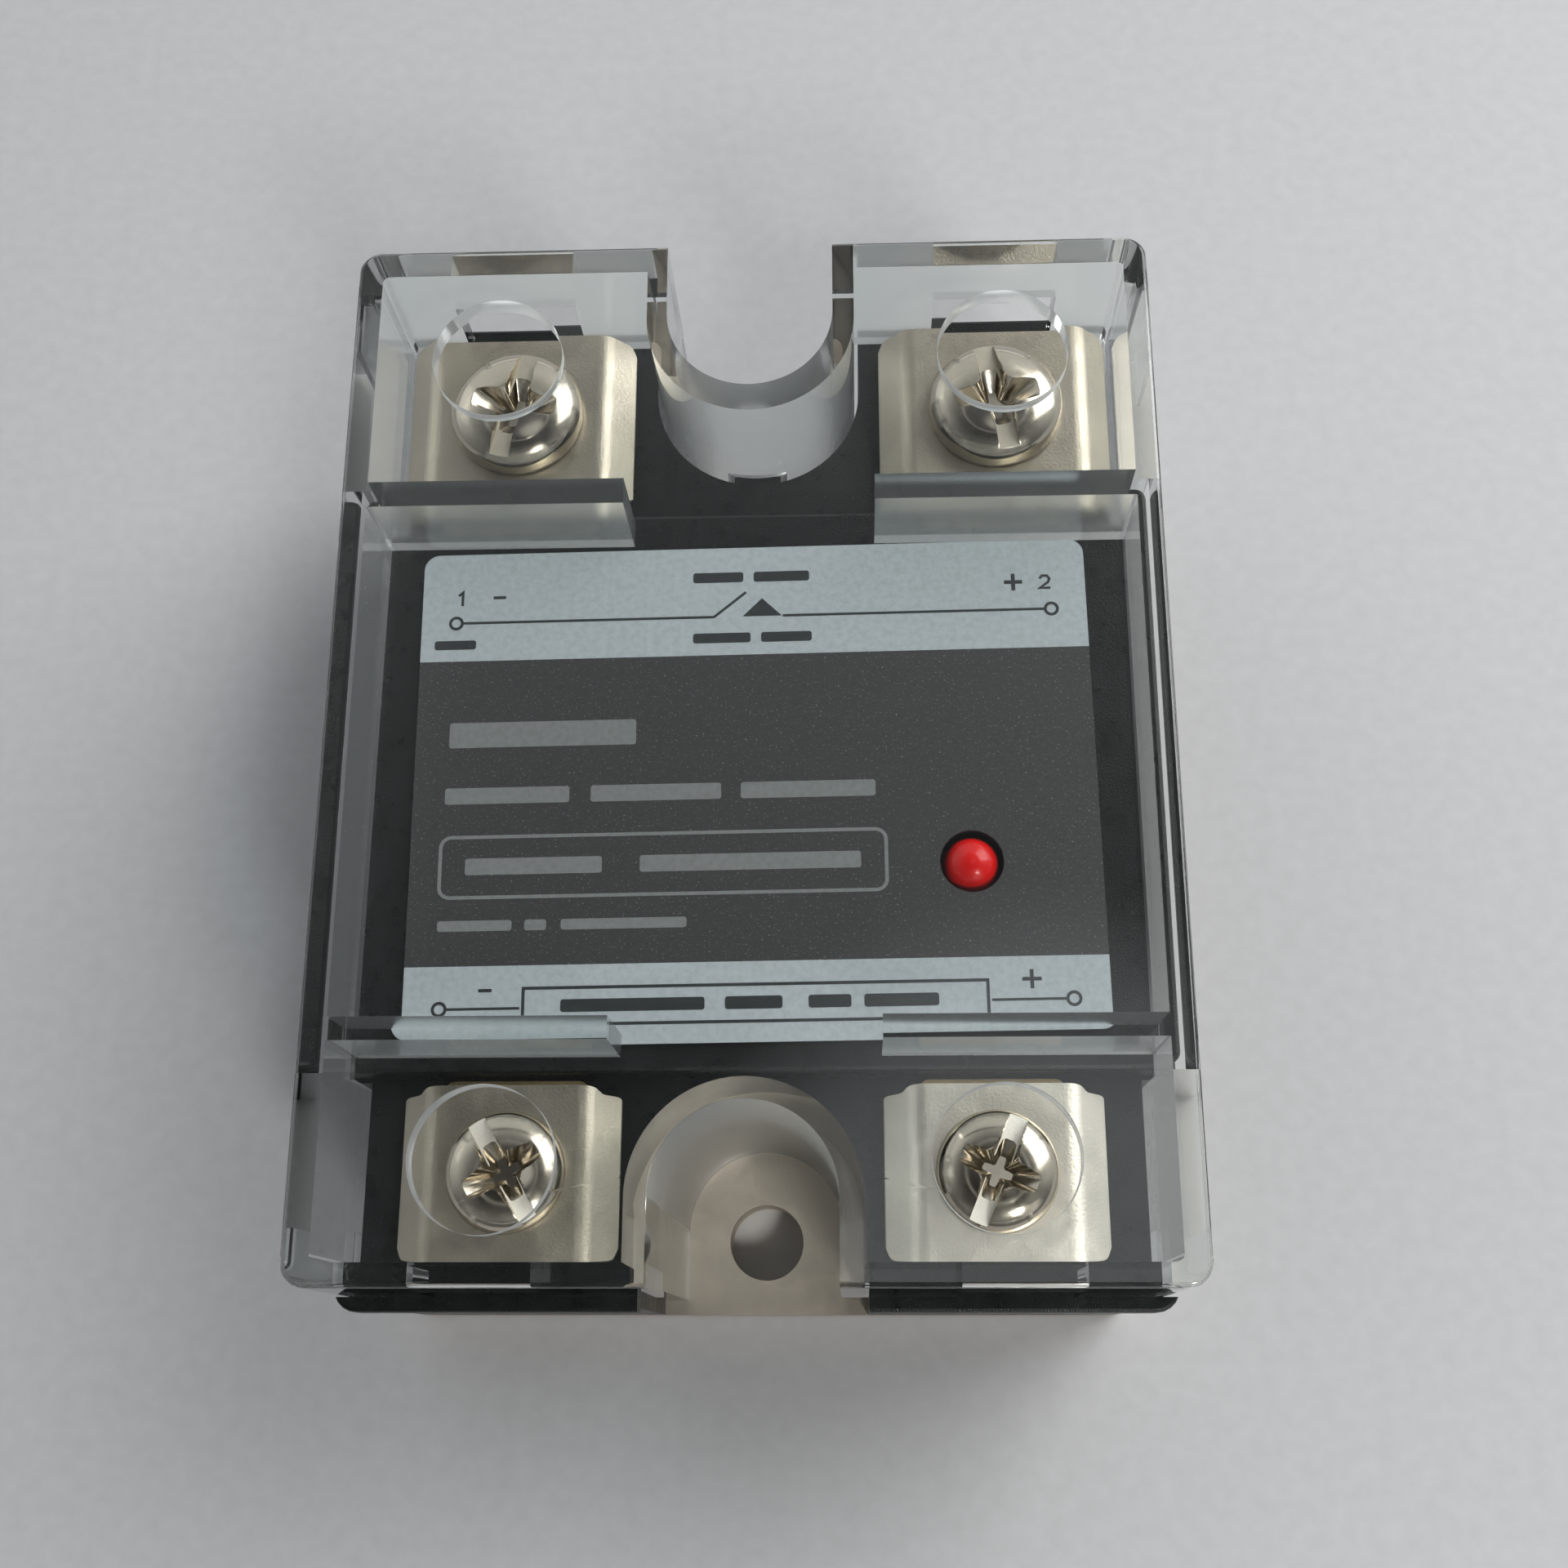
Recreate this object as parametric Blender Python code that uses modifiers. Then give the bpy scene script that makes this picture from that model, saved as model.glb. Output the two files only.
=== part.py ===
"""Panel mount solid state relay: base plate, black body, four screw terminals and a clear lift-off cover.

Lengths below are millimetres and become metres as each mesh is made. The origin lies under the middle of
the base plate. +Z is up, +Y points to the output terminals and +X to the right seen from the input end.
"""

import math

import bmesh
import bpy

MM = 0.001
TOUCH = 0.1  # gap left between two flat faces that rest on each other
PAST = 2.0  # how far a cutter runs past the face it opens

# Heights above the underside of the base plate
PLATE_TOP = 3.0
SHELF_TOP = 18.0
BLOCK_TOP = 20.4
LABEL_TOP = 20.75
COVER_TOP = 28.0

# Body: half sizes in X and Y
BODY_X, BODY_Y = 22.3, 29.45
RIM_X, RIM_Y, RIM_HEIGHT = 22.5, 29.7, 1.7
BLOCK_X, BLOCK_NEAR, BLOCK_FAR = 22.4, -17.4, 15.3
SIDE_X, SIDE_STEP, LIP_Y = 21.0, 0.2, 28.9  # the body is narrower beside the terminals, up to an end lip
WALL = 1.4
NOTCH_CENTRE = 24.5  # distance of each notch's round end from the middle
RECESS_R = 6.15
KEY_X, KEY_REACH = 1.4, 0.6  # moulded key that guides the cover at the output end

# Base plate openings
HOLE_Y, HOLE_R = -25.2, 2.25
SLOT_Y, SLOT_R = 22.4, 2.3
MOUTH_X, MOUTH_Y = 5.2, 25.9

# Cover
COVER_X, COVER_Y = 22.5, 28.98
COVER_FLARE = (0.1, 0.25)
COVER_SKIN = 1.25
SKIRT_BOTTOM = SHELF_TOP + 0.3
SIDE_SKIRT_BOTTOM = PLATE_TOP + 1.3  # beside the terminals the cover's sides reach down almost to the plate
SKIRT_GAP = 0.2
NOTCH_R, NOTCH_SKIN = 4.7, 1.2
DRIVER_R = 3.66  # screwdriver holes
RIB_X, RIB_BOTTOM = 6.95, 20.98
RIBS_Y = ((13.0, 14.5), (-16.7, -15.5))
WIRE_GATE_TOP = 23.2

# Label and lamp
LABEL_X, LABEL_NEAR, LABEL_FAR = 19.1, -15.9, 12.95
LAMP_X, LAMP_Y, LAMP_TOP = 12.05, -6.0, 21.25
LAMP_R, LAMP_FLANGE_R, LAMP_HOLE_R = 1.53, 1.9, 1.75
LAMP_BASE, LAMP_FLANGE_TOP = 16.7, 17.6

# Terminals: the output end carries M4 screws and the input end M3.5
CLAMP_TOP, CLAMP_TIP = 20.6, 18.75
BAR_TOP, BAR_THICK = 18.5, 0.8
NUT_TOP = 17.1
BOSS_BOTTOM = 9.9
TERMINALS = {
    "output": dict(
        end=1,
        x=14.2,
        y=21.8,
        clamp=(6.9, 5.2, 5.5, 1.2),  # half width, half width of the flat, half length, thickness
        head=(3.95, 2.35),  # radius, height
        shank=(1.95, 10.0),  # radius, length
        bar=(4.6, 15.9, 27.2),  # half width, inner end, outer end
        nut=(7.0, 2.8),  # side, height
        cross=(4.4, 1.05),  # span of the recess, width of its slots
        turn=-38,
        gate=(10.6, 17.8),  # wire opening in the cover's end wall
    ),
    "input": dict(
        end=-1,
        x=12.9,
        y=22.7,
        clamp=(5.95, 4.2, 4.6, 1.1),
        head=(3.2, 2.0),
        shank=(1.7, 9.0),
        bar=(3.9, 17.6, 27.2),
        nut=(6.0, 2.6),
        cross=(3.5, 0.9),
        turn=23,
        gate=(10.7, 16.9),
    ),
}
SIDES = {"left": -1, "right": 1}

# Parts inside the body
BOARD_BOTTOM, BOARD_TOP = 8.0, 9.6
CERAMIC_TOP = 3.75
COPPER_TOP = 4.15


# ---------------------------------------------------------------- scene and materials


def clear_scene():
    for obj in list(bpy.data.objects):
        bpy.data.objects.remove(obj, do_unlink=True)


def new_collection(name):
    made = bpy.data.collections.new(name)
    bpy.context.scene.collection.children.link(made)
    return made


def new_material(name, color, roughness, metallic=0.0):
    made = bpy.data.materials.new(name)
    made.use_nodes = True
    shader = made.node_tree.nodes["Principled BSDF"]
    shader.inputs["Base Color"].default_value = (*color, 1.0)
    shader.inputs["Roughness"].default_value = roughness
    shader.inputs["Metallic"].default_value = metallic
    made.diffuse_color = (*color, 1.0)
    return made


clear_scene()
PARTS = new_collection("solid_state_relay")
CUTTERS = new_collection("cutters")
NICKEL = new_material("nickel_plate", (0.62, 0.59, 0.52), 0.3, 1.0)
BLACK = new_material("black_plastic", (0.02, 0.024, 0.025), 0.45)
CLEAR = new_material("clear_plastic", (0.85, 0.88, 0.88), 0.08)
LABEL = new_material("label_film", (0.3, 0.31, 0.32), 0.5)
RED = new_material("red_lens", (0.6, 0.01, 0.01), 0.1)
BRASS = new_material("brass", (0.72, 0.55, 0.28), 0.35, 1.0)
COPPER = new_material("copper", (0.75, 0.38, 0.25), 0.35, 1.0)
TIN = new_material("tinned_wire", (0.7, 0.7, 0.68), 0.3, 1.0)
BOARD = new_material("board_green", (0.03, 0.2, 0.08), 0.5)
CERAMIC = new_material("white_ceramic", (0.85, 0.85, 0.82), 0.6)
CHIP = new_material("chip_black", (0.03, 0.03, 0.03), 0.5)
BEIGE = new_material("resistor_beige", (0.62, 0.5, 0.35), 0.5)
SLEEVE = new_material("capacitor_sleeve", (0.04, 0.05, 0.12), 0.4)
SILICON = new_material("silicon", (0.2, 0.2, 0.24), 0.25, 0.6)


# ---------------------------------------------------------------- shapes


def place(name, mesh, paint=None):
    """Makes the object: a part where it has a paint, and otherwise a tool for a Boolean."""
    obj = bpy.data.objects.new(name, mesh)
    if paint is None:
        CUTTERS.objects.link(obj)
        obj.hide_render = True
        obj.display_type = "WIRE"
    else:
        PARTS.objects.link(obj)
        mesh.materials.append(paint)
    return obj


def mesh_of(name, made, smooth=False):
    mesh = bpy.data.meshes.new(name)
    made.to_mesh(mesh)
    made.free()
    if smooth:
        mesh.shade_smooth()
        mesh.set_sharp_from_angle(angle=math.radians(35))
    return mesh


def drawn_mesh(obj):
    """The mesh that a curve or a modifier makes, welded, and the object it came from removed."""
    graph = bpy.context.evaluated_depsgraph_get()
    mesh = bpy.data.meshes.new_from_object(obj.evaluated_get(graph))
    bpy.data.objects.remove(obj, do_unlink=True)
    made = bmesh.new()
    made.from_mesh(mesh)
    bpy.data.meshes.remove(mesh)
    bmesh.ops.remove_doubles(made, verts=made.verts, dist=0.001 * MM)
    return made


def round_edges(made, edges, radius, steps):
    bmesh.ops.bevel(made, geom=edges, offset=radius * MM, segments=steps, profile=0.5, affect="EDGES")


def box(name, x, y, z, paint=None, upright=0.0, top=0.0, bottom=0.0, flare=(0.0, 0.0)):
    """A box between three spans, with rounded upright, top and bottom edges and a wider foot if asked."""
    spans = (sorted(x), sorted(y), sorted(z))
    made = bmesh.new()
    bmesh.ops.create_cube(made, size=2.0)
    for vert in made.verts:
        signs = tuple(vert.co)
        vert.co = [span[0] * MM if sign < 0 else span[1] * MM for span, sign in zip(spans, signs)]
        if signs[2] < 0:
            vert.co.x += signs[0] * flare[0] * MM
            vert.co.y += signs[1] * flare[1] * MM
    if upright:
        edges = [e for e in made.edges if abs(e.verts[0].co.z - e.verts[1].co.z) > 0.01 * MM]
        round_edges(made, edges, upright, 5)
    for radius, level in ((top, spans[2][1]), (bottom, spans[2][0])):
        if radius:
            edges = [e for e in made.edges if all(abs(v.co.z - level * MM) < 0.001 * MM for v in e.verts)]
            round_edges(made, edges, radius, 2)
    return place(name, mesh_of(name, made), paint)


def cylinder(name, x, y, radius, z, paint=None, sides=28):
    made = bmesh.new()
    bmesh.ops.create_cone(
        made,
        cap_ends=True,
        segments=sides,
        radius1=radius * MM,
        radius2=radius * MM,
        depth=(z[1] - z[0]) * MM,
    )
    bmesh.ops.translate(made, verts=made.verts, vec=(x * MM, y * MM, (z[0] + z[1]) / 2 * MM))
    return place(name, mesh_of(name, made, smooth=True), paint)


def slab(name, outline, z, paint=None):
    """A flat outline of (x, y) points with thickness, drawn as a filled curve and made a mesh."""
    curve = bpy.data.curves.new(name, "CURVE")
    curve.dimensions = "2D"
    curve.fill_mode = "BOTH"
    curve.extrude = (z[1] - z[0]) / 2 * MM
    spline = curve.splines.new("POLY")
    spline.points.add(len(outline) - 1)
    for point, (x, y) in zip(spline.points, outline):
        point.co = (x * MM, y * MM, 0, 1)
    spline.use_cyclic_u = True
    drawn = bpy.data.objects.new(name, curve)
    bpy.context.scene.collection.objects.link(drawn)
    made = drawn_mesh(drawn)
    bpy.data.curves.remove(curve)
    bmesh.ops.recalc_face_normals(made, faces=made.faces)
    bmesh.ops.translate(made, verts=made.verts, vec=(0, 0, (z[0] + z[1]) / 2 * MM))
    return place(name, mesh_of(name, made, smooth=True), paint)


def notch(name, radius, centre, mouth, z, paint=None, steps=32):
    """A U shaped slab: round about (0, centre) and open towards y = mouth."""
    start = math.pi if mouth > 0 else 0.0
    outline = []
    for i in range(steps + 1):
        angle = start + math.pi * i / steps
        outline.append((radius * math.cos(angle), centre + radius * math.sin(angle)))
    outline.append((outline[-1][0], mouth))
    outline.append((outline[0][0], mouth))
    return slab(name, outline, z, paint)


def turned(name, profile, paint, steps=32):
    """A body of revolution about Z from (radius, height) points that run down its outer side."""
    line = bpy.data.meshes.new(name)
    points = [(radius * MM, 0, height * MM) for radius, height in profile]
    line.from_pydata(points, [(i, i + 1) for i in range(len(points) - 1)], [])
    drawn = bpy.data.objects.new(name, line)
    bpy.context.scene.collection.objects.link(drawn)
    spin = drawn.modifiers.new("turn", "SCREW")
    spin.axis = "Z"
    spin.steps = steps
    spin.render_steps = steps
    spin.use_merge_vertices = True
    spin.merge_threshold = 0.00001
    made = drawn_mesh(drawn)
    bpy.data.meshes.remove(line)
    return place(name, mesh_of(name, made, smooth=True), paint)


def shape(body, operation, *tools):
    for tool in tools:
        step = body.modifiers.new(operation.lower(), "BOOLEAN")
        step.operation = operation
        step.solver = "EXACT"
        step.object = tool
    return body


def cut(body, *tools):
    return shape(body, "DIFFERENCE", *tools)


def join(body, *tools):
    return shape(body, "UNION", *tools)


# ---------------------------------------------------------------- terminals


def terminals():
    """Each terminal's name, its sizes and where its screw stands."""
    for group, sizes in TERMINALS.items():
        for side, sign in SIDES.items():
            yield f"{group}_{side}", sizes, sign * sizes["x"], sizes["end"] * sizes["y"]


def around(middle, half):
    return (middle - half, middle + half)


def bar_length(sizes, spare=0.0):
    """The bar's span in Y, longer by a little at both ends where it is the bed that is cut."""
    end, (_, inner, outer) = sizes["end"], sizes["bar"]
    return (end * (inner - spare), end * (outer + spare))


def leg_depth(sizes, spare=0.0):
    end, inner = sizes["end"], sizes["bar"][1]
    return (end * (inner - spare), end * (inner + BAR_THICK + spare))


def terminal_cutters(sizes, x, y):
    """What one terminal takes out of the body: the bar's bed, its leg's way down, the nut and the screw."""
    side, height = sizes["nut"]
    half = side / 2 + 0.15
    return (
        box("bed", around(x, sizes["bar"][0] + 0.2), bar_length(sizes, 0.2), (BAR_TOP - 1, BLOCK_TOP + 1)),
        box("leg_way", around(x, 2.7), leg_depth(sizes, 0.2), (BOSS_BOTTOM - PAST, BAR_TOP)),
        box("nut_room", around(x, half), around(y, half), (NUT_TOP - height - 0.15, SHELF_TOP)),
        cylinder("screw_way", x, y, sizes["shank"][0] + 0.35, (BOSS_BOTTOM + 0.6, NUT_TOP), sides=20),
    )


def make_bar(name, sizes, x, y):
    foot = COPPER_TOP + TOUCH if sizes["end"] > 0 else BOARD_TOP + TOUCH
    top = (BAR_TOP - BAR_THICK, BAR_TOP)
    bar = box("bar_" + name, around(x, sizes["bar"][0]), bar_length(sizes), top, BRASS, upright=0.5)
    leg = box("leg", around(x, 2.4), leg_depth(sizes), (foot, BAR_TOP - 0.3))
    hole = cylinder("bar_hole", x, y, sizes["shank"][0] + 0.3, (BAR_TOP - PAST, BAR_TOP + PAST))
    cut(join(bar, leg), hole)


def make_nut(name, sizes, x, y):
    side, height = sizes["nut"]
    low = NUT_TOP - height
    spans = (around(x, side / 2), around(y, side / 2), (low, NUT_TOP))
    nut = box("nut_" + name, *spans, NICKEL, upright=0.4, bottom=0.25)
    cut(nut, cylinder("thread", x, y, sizes["shank"][0] + 0.1, (low - PAST, NUT_TOP + PAST)))


def make_clamp(name, sizes, x, y):
    """A flat plate with both side wings bent down: its end view is drawn in X and Z and runs along Y."""
    wide, flat, half, thick = sizes["clamp"]
    under = CLAMP_TOP - thick
    ease = 0.35
    right = [
        (flat - 2 * ease, under),
        (flat - ease, under - 0.1),
        (wide - 0.75, CLAMP_TIP),
        (wide, CLAMP_TIP + ease),
        (flat + ease, CLAMP_TOP - ease),
        (flat, CLAMP_TOP - 0.08),
        (flat - ease, CLAMP_TOP),
    ]
    left = [(-across, height) for across, height in reversed(right)]
    clamp = slab("clamp_" + name, right + left, (-half, half), NICKEL)
    clamp.rotation_euler.x = math.radians(90)
    clamp.location = (x * MM, y * MM, 0)
    heights = (CLAMP_TIP - PAST, CLAMP_TOP + PAST)
    corners = box("clamp_corners", around(x, wide + 0.01), around(y, half - 0.01), heights, upright=0.9)
    hole = cylinder("clamp_hole", x, y, sizes["shank"][0] + 0.25, heights)
    cut(shape(clamp, "INTERSECT", corners), hole)


def make_screw(name, sizes, x, y):
    """A domed head with a cross recess and a driver slot, over a plain shank drawn at thread size."""
    (r, high), (shank, length) = sizes["head"], sizes["shank"]
    dome = ((0, 1), (0.3, 0.985), (0.55, 0.93), (0.75, 0.82), (0.9, 0.62), (0.98, 0.38), (1, 0.2), (0.97, 0))
    profile = [(r * across, high * up) for across, up in dome]
    profile += [(shank, 0), (shank, 0.5 - length), (shank - 0.45, -length), (0, -length)]
    screw = turned("screw_" + name, profile, NICKEL, 40)
    screw.location = (x * MM, y * MM, (CLAMP_TOP + TOUCH) * MM)
    screw.rotation_euler.z = math.radians(90 + math.copysign(sizes["turn"], x * sizes["turn"]))
    span, width = sizes["cross"]
    recess = (high - 1.35, high + PAST)
    slot = (high - 0.75, high + PAST)
    for tool in (
        box("recess_arm", around(0, span / 2), around(0, width / 2), recess),
        box("recess_arm", around(0, width / 2), around(0, span / 2), recess),
        box("driver_slot", around(0, r + 1), around(0, width / 2 + 0.03), slot),
    ):
        tool.parent = screw
        cut(screw, tool)


# ---------------------------------------------------------------- body, cover and label


def make_base_plate():
    plate = box("base_plate", (-BODY_X, BODY_X), (-BODY_Y, BODY_Y), (0, PLATE_TOP), NICKEL, 1.5, 0, 0.3)
    through = (-PAST, PLATE_TOP + PAST)
    hole = cylinder("mounting_hole", 0, HOLE_Y, HOLE_R, through, sides=40)
    slot = notch("mounting_slot", SLOT_R, SLOT_Y, BODY_Y + PAST, through, steps=20)
    mouth = box("slot_mouth", (-MOUTH_X, MOUTH_X), (MOUTH_Y, BODY_Y + 3), (-3, PLATE_TOP + 3), upright=0.8)
    cut(plate, hole, slot, mouth)


def make_room():
    """The hollow inside the body, with a round wall kept standing round each notch."""
    floor, ceiling = PLATE_TOP - PAST, SHELF_TOP - WALL
    room = box("room", around(0, SIDE_X - WALL), around(0, BODY_Y - WALL), (floor, ceiling))
    middle = (BLOCK_NEAR + WALL, BLOCK_FAR - WALL)
    join(room, box("upper_room", around(0, BODY_X - WALL), middle, (floor, BLOCK_TOP - WALL)))
    for end in (1, -1):
        kept = notch("notch_wall", RECESS_R + WALL, end * NOTCH_CENTRE, end * RIM_Y, (0, SHELF_TOP))
        cut(room, kept)
    return room


def make_housing():
    lower = (PLATE_TOP + TOUCH, SHELF_TOP - 0.3)
    housing = box("housing", (-BODY_X, BODY_X), (-BODY_Y, BODY_Y), lower, BLACK, upright=1.5)
    rim = box(
        "rim",
        (-RIM_X, RIM_X),
        (-RIM_Y, RIM_Y),
        (SHELF_TOP - RIM_HEIGHT, SHELF_TOP),
        upright=1.3,
        top=0.2,
        bottom=0.2,
    )
    raised = box(
        "raised_block",
        (-BLOCK_X, BLOCK_X),
        (BLOCK_NEAR, BLOCK_FAR),
        (SHELF_TOP - 1, BLOCK_TOP),
        upright=0.6,
        top=0.25,
    )
    join(housing, rim, raised)
    for stop, step_y in ((-1, BLOCK_NEAR - SIDE_STEP), (1, BLOCK_FAR + SIDE_STEP)):
        for sign in SIDES.values():
            aside = (sign * SIDE_X, sign * (RIM_X + PAST))
            beside_clamp = (0, BLOCK_TOP + PAST)
            under_lip = (0, SHELF_TOP - RIM_HEIGHT)
            cut(housing, box("side_bay", aside, (step_y, stop * LIP_Y), beside_clamp))
            cut(housing, box("side_bay_end", aside, (stop * (LIP_Y - PAST), stop * (RIM_Y + PAST)), under_lip))
    cut(housing, make_room())
    for _, sizes, x, y in terminals():
        half = sizes["nut"][0] / 2 + WALL
        outer = sizes["end"] * (BODY_Y - WALL / 2)
        boss = box("boss", around(x, half), (y - sizes["end"] * half, outer), (BOSS_BOTTOM, SHELF_TOP - 0.8))
        join(housing, boss)
    for end in (1, -1):
        heights = (PLATE_TOP - PAST, BLOCK_TOP + PAST)
        cut(housing, notch("recess", RECESS_R, end * NOTCH_CENTRE, end * (RIM_Y + PAST), heights))
    for _, sizes, x, y in terminals():
        cut(housing, *terminal_cutters(sizes, x, y))
    lamp_hole = cylinder("lamp_way", LAMP_X, LAMP_Y, LAMP_HOLE_R, (BLOCK_TOP - 5, BLOCK_TOP + PAST))
    cut(housing, lamp_hole)
    wall_face = NOTCH_CENTRE - RECESS_R
    key_height = (SHELF_TOP - 3.4, SHELF_TOP - TOUCH)
    join(housing, box("key", around(0, KEY_X), (wall_face - 0.8, wall_face + KEY_REACH), key_height))


def make_cover():
    heights = (SIDE_SKIRT_BOTTOM, COVER_TOP)
    spans = ((-COVER_X, COVER_X), (-COVER_Y, COVER_Y), heights)
    cover = box("cover", *spans, CLEAR, upright=1.3, top=0.3, flare=COVER_FLARE)
    inside = (
        around(0, COVER_X - COVER_SKIN),
        around(0, COVER_Y - COVER_SKIN),
        (SIDE_SKIRT_BOTTOM - PAST, COVER_TOP - COVER_SKIN),
    )
    cut(cover, box("cover_room", *inside, upright=0.4, flare=COVER_FLARE))
    reach = COVER_X + PAST
    middle = (BLOCK_NEAR - SIDE_STEP - SKIRT_GAP, BLOCK_FAR + SIDE_STEP + SKIRT_GAP)
    cut(cover, box("over_block", around(0, reach), middle, (0, BLOCK_TOP + 0.3)))
    for end in (1, -1):
        end_wall = (end * (LIP_Y - SKIRT_GAP), end * (COVER_Y + PAST))
        cut(cover, box("over_lip", around(0, reach), end_wall, (0, SKIRT_BOTTOM)))
        between = (end * (COVER_Y - COVER_SKIN - PAST), end * (COVER_Y + PAST))
        cut(cover, box("over_shelf", around(0, COVER_X - COVER_SKIN + 0.2), between, (0, SKIRT_BOTTOM)))
    for low, high in RIBS_Y:
        for sign in SIDES.values():
            reach = (sign * RIB_X, sign * (COVER_X - COVER_SKIN / 2))
            join(cover, box("rib", reach, (low, high), (RIB_BOTTOM, COVER_TOP - COVER_SKIN / 2)))
    for end in (1, -1):
        centre = end * NOTCH_CENTRE
        post_heights = (PLATE_TOP + 0.3, COVER_TOP - COVER_SKIN / 2)
        post = notch("notch_post", NOTCH_R + NOTCH_SKIN, centre, end * (COVER_Y - 0.2), post_heights)
        join(cover, post)
    for end in (1, -1):
        through = (PLATE_TOP - PAST, COVER_TOP + PAST)
        cut(cover, notch("cover_notch", NOTCH_R, end * NOTCH_CENTRE, end * (COVER_Y + PAST), through))
    for _, sizes, x, y in terminals():
        driver_hole = cylinder("driver_hole", x, y, DRIVER_R, (COVER_TOP - PAST, COVER_TOP + PAST), sides=40)
        gate_x = [math.copysign(edge, x) for edge in sizes["gate"]]
        gate_y = [sizes["end"] * (COVER_Y - PAST), sizes["end"] * (COVER_Y + PAST)]
        gate = box("wire_gate", gate_x, gate_y, (SKIRT_BOTTOM - 1, WIRE_GATE_TOP))
        cut(cover, driver_hole, gate)
    wall_face = NOTCH_CENTRE - RECESS_R
    keyway_y = (wall_face - 1, wall_face + KEY_REACH + 0.25)
    cut(cover, box("keyway", around(0, KEY_X + 0.3), keyway_y, (PLATE_TOP - 1, SHELF_TOP + 0.4)))


def make_label():
    heights = (BLOCK_TOP + TOUCH, LABEL_TOP)
    label = box("label", (-LABEL_X, LABEL_X), (LABEL_NEAR, LABEL_FAR), heights, LABEL, upright=0.9)
    cut(label, cylinder("label_hole", LAMP_X, LAMP_Y, LAMP_HOLE_R, (BLOCK_TOP - PAST, LABEL_TOP + PAST)))


# ---------------------------------------------------------------- lamp and electronics


def make_lamp():
    dome = [math.radians(15 * i) for i in range(7)]
    middle = LAMP_TOP - LAMP_R
    profile = [(LAMP_R * math.sin(a), middle + LAMP_R * math.cos(a)) for a in dome]
    profile += [(LAMP_R, LAMP_FLANGE_TOP), (LAMP_FLANGE_R, LAMP_FLANGE_TOP), (LAMP_FLANGE_R, LAMP_BASE)]
    lens = turned("lamp_lens", profile + [(0, LAMP_BASE)], RED)
    lens.location = (LAMP_X * MM, LAMP_Y * MM, 0)
    for name, shift in (("lamp_lead_plus", 1.27), ("lamp_lead_minus", -1.27)):
        lead_height = (BOARD_TOP + TOUCH, LAMP_BASE - TOUCH)
        cylinder(name, LAMP_X + shift, LAMP_Y, 0.25, lead_height, TIN, sides=12)


def make_rod(name, radius, length, x, y, paint):
    """A round part lying along X on the board."""
    half, edge = length / 2, 0.35
    profile = [(0, half), (0.8 * radius, half), (radius, half - edge)]
    profile += [(radius, edge - half), (0.8 * radius, -half), (0, -half)]
    rod = turned(name, profile, paint, 20)
    rod.rotation_euler.y = math.radians(90)
    rod.location = (x * MM, y * MM, (BOARD_TOP + TOUCH + radius) * MM)


def make_board():
    board = box("circuit_board", (-19.4, 19.4), (-18.3, 15.5), (BOARD_BOTTOM, BOARD_TOP), BOARD)
    cut(board, notch("board_relief", 8.0, -NOTCH_CENTRE, -RIM_Y, (BOARD_BOTTOM - 1, BOARD_TOP + 1)))
    base = BOARD_TOP + TOUCH
    box("optocoupler", (2.0, 8.6), (-8.4, -3.8), (base, base + 3.6), CHIP)
    box("driver_chip", (-6.5, -1.5), (1.6, 5.6), (base, base + 1.7), CHIP)
    make_rod("input_resistor", 1.2, 6.6, -4.5, -12.6, BEIGE)
    make_rod("lamp_resistor", 0.9, 4.2, 4.5, -13.0, BEIGE)
    make_rod("gate_resistor", 0.9, 4.2, 5.2, 3.6, BEIGE)
    make_rod("input_diode", 1.1, 4.4, -4.5, -8.0, CHIP)
    make_rod("surge_diode", 1.8, 6.4, 4.5, 10.6, CHIP)
    can = turned("storage_capacitor", [(0, 6.1), (2.4, 6.1), (2.6, 5.8), (2.6, 0.2), (2.4, 0), (0, 0)], SLEEVE)
    can.location = (-14.5 * MM, -6.5 * MM, base * MM)


def make_power_stage():
    """The transistor chips on copper pads, on a ceramic plate that insulates them from the base plate."""
    box("ceramic_plate", (-18.6, 18.6), (-8.0, 16.85), (PLATE_TOP + TOUCH, CERAMIC_TOP), CERAMIC)
    for side, sign in SIDES.items():
        pad_x = (sign * 0.8, sign * 17.8)
        box("copper_pad_" + side, pad_x, (-7.0, 16.8), (CERAMIC_TOP + TOUCH, COPPER_TOP), COPPER)
        chip_x = (sign * 5.5, sign * 12.5)
        box("transistor_chip_" + side, chip_x, (-1.5, 5.5), (COPPER_TOP + TOUCH, COPPER_TOP + 0.5), SILICON)


make_base_plate()
make_housing()
make_cover()
make_label()
make_lamp()
make_board()
make_power_stage()
for terminal, terminal_sizes, screw_x, screw_y in terminals():
    make_clamp(terminal, terminal_sizes, screw_x, screw_y)
    make_screw(terminal, terminal_sizes, screw_x, screw_y)
    make_bar(terminal, terminal_sizes, screw_x, screw_y)
    make_nut(terminal, terminal_sizes, screw_x, screw_y)
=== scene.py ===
"""Looks for the panel mount solid state relay: clear cover, plated terminals, printed label and lamp.

Sizes below are millimetres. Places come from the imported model's boxes, in its frame: +Z up from the base
plate's underside, +Y towards the output terminals and +X to the right seen from the input end.
"""

import math

import bmesh
import bpy
from mathutils import Matrix, Vector


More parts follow.
